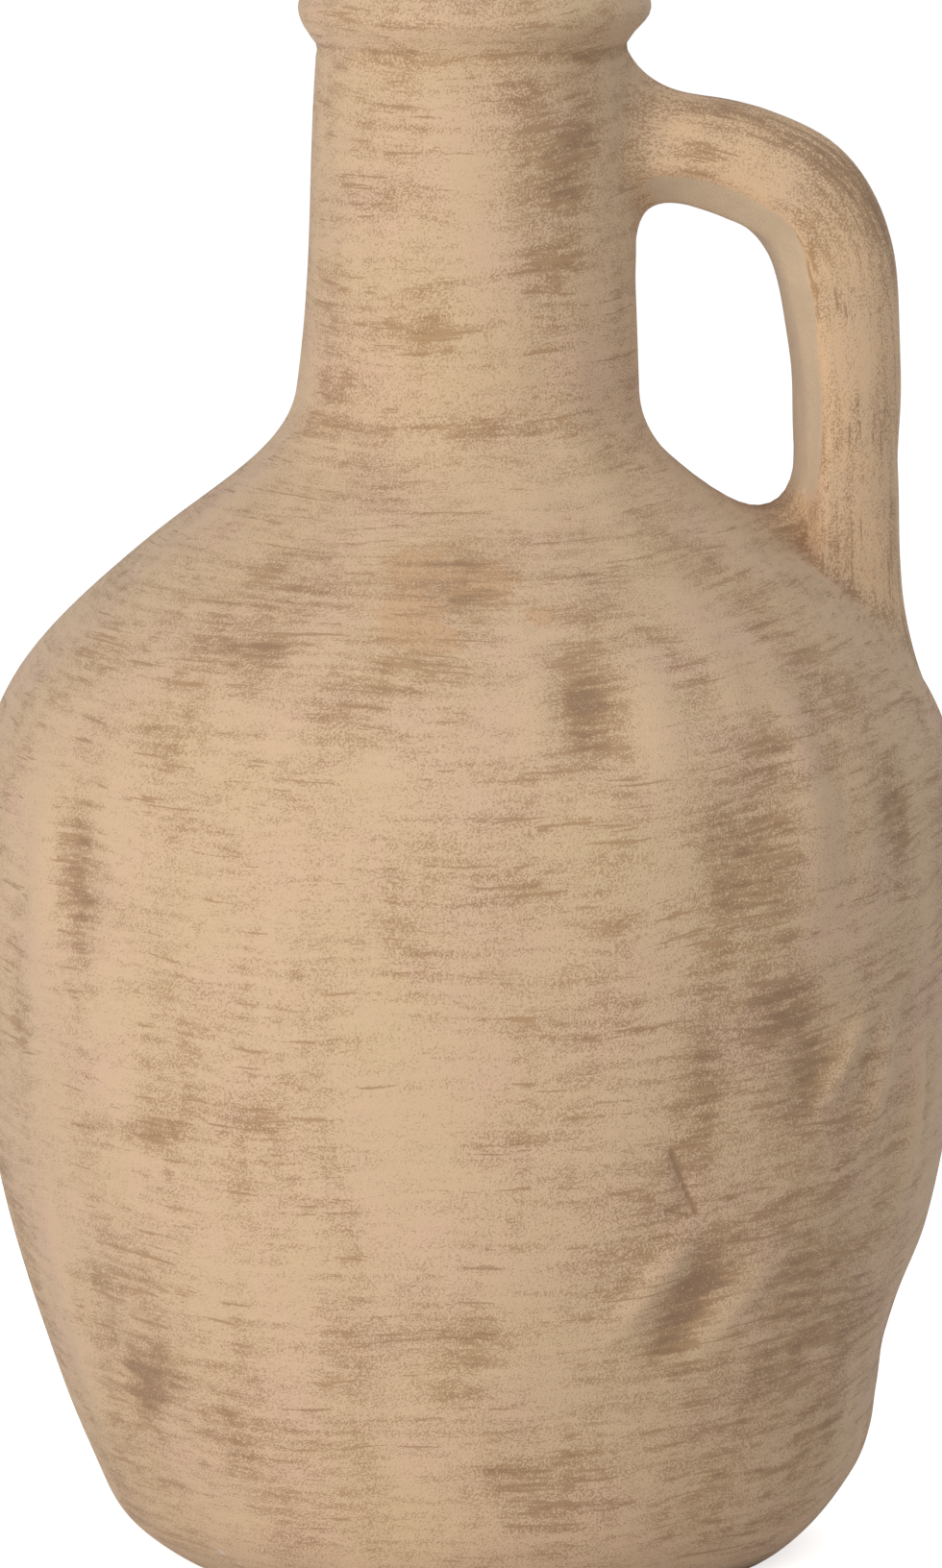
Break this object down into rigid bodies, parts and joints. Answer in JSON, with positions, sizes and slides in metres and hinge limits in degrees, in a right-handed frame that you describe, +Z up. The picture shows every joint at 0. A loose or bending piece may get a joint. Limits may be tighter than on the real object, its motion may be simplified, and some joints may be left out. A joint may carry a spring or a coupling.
{
  "type": "one-handled jug",
  "caption": "Hand-formed earthenware jug with an egg-shaped body, wide straight neck, rolled rim and a thick side handle, for holding liquids or stems.",
  "frame": {"origin": "centre of the base's underside", "axes": "+Z up along the jug's axis, +X towards the handle"},
  "size_m": [0.252, 0.252, 0.4],
  "materials": {
    "brushed_clay": "matt sand-coloured slip brushed over brown",
    "bare_clay": "matt bare fired clay"
  },
  "bodies": {
    "root": {"base_disc": "brushed_clay", "lower_wall": "brushed_clay", "shoulder_wall": "brushed_clay", "neck_tube": "brushed_clay", "rim_roll": "brushed_clay", "handle_bar": "brushed_clay", "upper_handle_coil": "brushed_clay", "lower_handle_coil": "brushed_clay", "floor_seam_coil": "bare_clay", "girth_seam_coil": "bare_clay", "neck_seam_coil": "bare_clay"}
  },
  "joints": []
}
